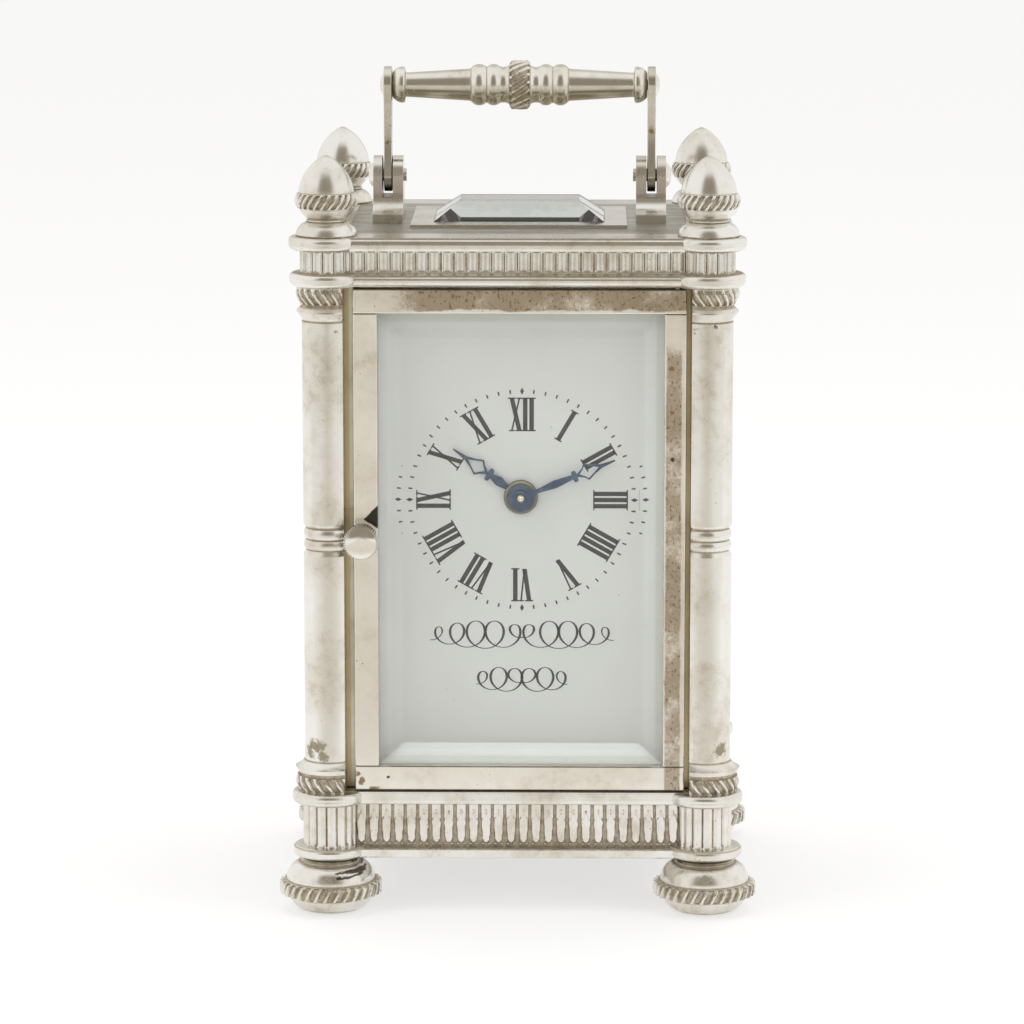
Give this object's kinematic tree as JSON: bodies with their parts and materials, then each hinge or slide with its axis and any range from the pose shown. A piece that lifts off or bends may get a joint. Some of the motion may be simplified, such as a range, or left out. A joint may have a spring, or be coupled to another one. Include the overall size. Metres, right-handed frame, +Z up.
{
  "type": "carriage clock",
  "caption": "Glazed four-column carriage clock with fold-down carrying handle, hinged front and rear doors, and a spring-driven movement with platform escapement.",
  "frame": {"origin": "bottom centre: the middle of the four feet, on the surface that the clock stands on", "axes": "+Z up, the dial faces -Y, +X to the viewer's right"},
  "size_m": [0.0855, 0.0744, 0.15],
  "materials": {
    "aged_silver": "worn silver plate with brown-gold tarnish in the recesses",
    "brushed_plate": "dull brushed silver plate",
    "satin_frame": "satin silver plate with fine brown specks",
    "bevelled_glass": "clear polished glass, slightly green at the bevels",
    "enamel": "fired white enamel, printed numerals",
    "blued_steel": "polished blued steel",
    "steel": "polished steel",
    "brass": "lacquered brass, light tarnish"
  },
  "bodies": {
    "root": {"base": "aged_silver", "cornice": "aged_silver", "top_plate": "brushed_plate", "top_glass_bezel": "aged_silver", "top_glass": "bevelled_glass", "column_front_left": "aged_silver", "column_front_right": "aged_silver", "column_rear_left": "aged_silver", "column_rear_right": "aged_silver", "foot_front_left": "aged_silver", "foot_front_right": "aged_silver", "foot_rear_left": "aged_silver", "foot_rear_right": "aged_silver", "finial_front_left": "aged_silver", "finial_front_right": "aged_silver", "finial_rear_left": "aged_silver", "finial_rear_right": "aged_silver", "side_glass_left": "bevelled_glass", "side_glass_right": "bevelled_glass", "door_hinge_pins": "steel", "handle_clevis_left": "aged_silver", "handle_clevis_right": "aged_silver", "handle_pins": "aged_silver", "front_plate": "brass", "back_plate": "brass", "plate_pillars": "brass", "case_and_plate_screws": "steel", "platform": "brass", "balance_cock": "brass", "hairspring": "steel", "dial": "enamel"},
    "handle": {"handle_grip": "aged_silver", "handle_arm_left": "aged_silver", "handle_arm_right": "aged_silver", "handle_screws": "aged_silver"},
    "front_door": {"front_door_frame": "satin_frame", "front_door_glass": "bevelled_glass"},
    "front_latch": {"front_door_knob": "aged_silver", "front_latch": "steel"},
    "rear_door": {"rear_door_frame": "satin_frame", "rear_door_glass": "bevelled_glass"},
    "rear_latch": {"rear_door_knob": "aged_silver", "rear_latch": "steel"},
    "minute_train": {"cannon_pinion": "steel", "minute_hand": "blued_steel"},
    "motion_wheel": {"minute_wheel": "brass"},
    "hour_train": {"hour_wheel": "brass", "hour_hand": "blued_steel"},
    "barrel": {"mainspring_barrel": "brass", "mainspring": "steel"},
    "winding_arbor": {"barrel_arbor": "steel", "ratchet_wheel": "steel"},
    "click": {"click": "steel"},
    "intermediate": {"intermediate_wheel": "brass"},
    "centre": {"centre_wheel": "brass"},
    "third": {"third_wheel": "brass"},
    "contrate": {"contrate_wheel": "brass"},
    "escape": {"escape_wheel": "brass"},
    "lever": {"pallet_lever": "steel"},
    "balance": {"balance_wheel": "brass"}
  },
  "joints": [
    {"name": "handle_swing", "type": "hinge", "parent": "root", "child": "handle", "pos_m": [0, 0, 0.1293], "axis": [1, 0, 0], "range_deg": [-90, 90]},
    {"name": "front_door_swing", "type": "hinge", "parent": "root", "child": "front_door", "pos_m": [0.0281, -0.029, 0.0672], "axis": [0, 0, 1], "range_deg": [0, 90]},
    {"name": "front_latch_turn", "type": "hinge", "parent": "front_door", "child": "front_latch", "pos_m": [-0.0275, -0.029, 0.0677], "axis": [0, -1, 0], "range_deg": [0, 90]},
    {"name": "rear_door_swing", "type": "hinge", "parent": "root", "child": "rear_door", "pos_m": [-0.0281, 0.029, 0.0672], "axis": [0, 0, 1], "range_deg": [0, 90]},
    {"name": "rear_latch_turn", "type": "hinge", "parent": "rear_door", "child": "rear_latch", "pos_m": [0.0275, 0.029, 0.0677], "axis": [0, 1, 0], "range_deg": [0, 90]},
    {"name": "minute_hand_turn", "type": "hinge", "parent": "root", "child": "minute_train", "pos_m": [0.0005, -0.021, 0.0739], "axis": [0, 1, 0], "continuous": true},
    {"name": "minute_wheel_turn", "type": "hinge", "parent": "root", "child": "motion_wheel", "pos_m": [0.0005, -0.016, 0.0679], "axis": [0, 1, 0], "continuous": true},
    {"name": "hour_hand_turn", "type": "hinge", "parent": "root", "child": "hour_train", "pos_m": [0.0005, -0.02, 0.0739], "axis": [0, 1, 0], "continuous": true},
    {"name": "contrate_turn", "type": "hinge", "parent": "root", "child": "contrate", "pos_m": [0.0005, 0.005, 0.0864], "axis": [0, 1, 0], "continuous": true},
    {"name": "third_turn", "type": "hinge", "parent": "root", "child": "third", "pos_m": [0.00831, -0.004, 0.08226], "axis": [0, 1, 0], "continuous": true},
    {"name": "centre_turn", "type": "hinge", "parent": "root", "child": "centre", "pos_m": [0.0005, -0.009, 0.0739], "axis": [0, 1, 0], "continuous": true},
    {"name": "intermediate_turn", "type": "hinge", "parent": "root", "child": "intermediate", "pos_m": [-0.0055, -0.0066, 0.06363], "axis": [0, 1, 0], "continuous": true},
    {"name": "barrel_turn", "type": "hinge", "parent": "root", "child": "barrel", "pos_m": [0.0005, 0.003, 0.0454], "axis": [0, 1, 0], "continuous": true},
    {"name": "escape_turn", "type": "hinge", "parent": "root", "child": "escape", "pos_m": [0.0005, 0.0085, 0.0992], "axis": [0, 0, 1], "continuous": true},
    {"name": "winding_turn", "type": "hinge", "parent": "root", "child": "winding_arbor", "pos_m": [0.0005, 0.016, 0.0454], "axis": [0, 1, 0], "range_deg": [0, 1800]},
    {"name": "click_lift", "type": "hinge", "parent": "root", "child": "click", "pos_m": [0.0091, 0.016, 0.05], "axis": [0, 1, 0], "range_deg": [-4, 8]},
    {"name": "lever_rock", "type": "hinge", "parent": "root", "child": "lever", "pos_m": [0.0005, 0.0041, 0.0992], "axis": [0, 0, 1], "range_deg": [-5, 5]},
    {"name": "balance_swing", "type": "hinge", "parent": "root", "child": "balance", "pos_m": [0.0005, -0.0002, 0.1023], "axis": [0, 0, 1], "range_deg": [-135, 135], "stiffness_Nm_per_rad": 0.000004}
  ],
  "couplings": [
    {"joint": "minute_wheel_turn", "follows": "minute_hand_turn", "ratio": -0.33333},
    {"joint": "hour_hand_turn", "follows": "minute_hand_turn", "ratio": 0.083333},
    {"joint": "third_turn", "follows": "contrate_turn", "ratio": -0.13333},
    {"joint": "centre_turn", "follows": "contrate_turn", "ratio": 0.013333},
    {"joint": "intermediate_turn", "follows": "contrate_turn", "ratio": -0.0022222},
    {"joint": "barrel_turn", "follows": "contrate_turn", "ratio": 0.00031746},
    {"joint": "escape_turn", "follows": "contrate_turn", "ratio": 8}
  ]
}
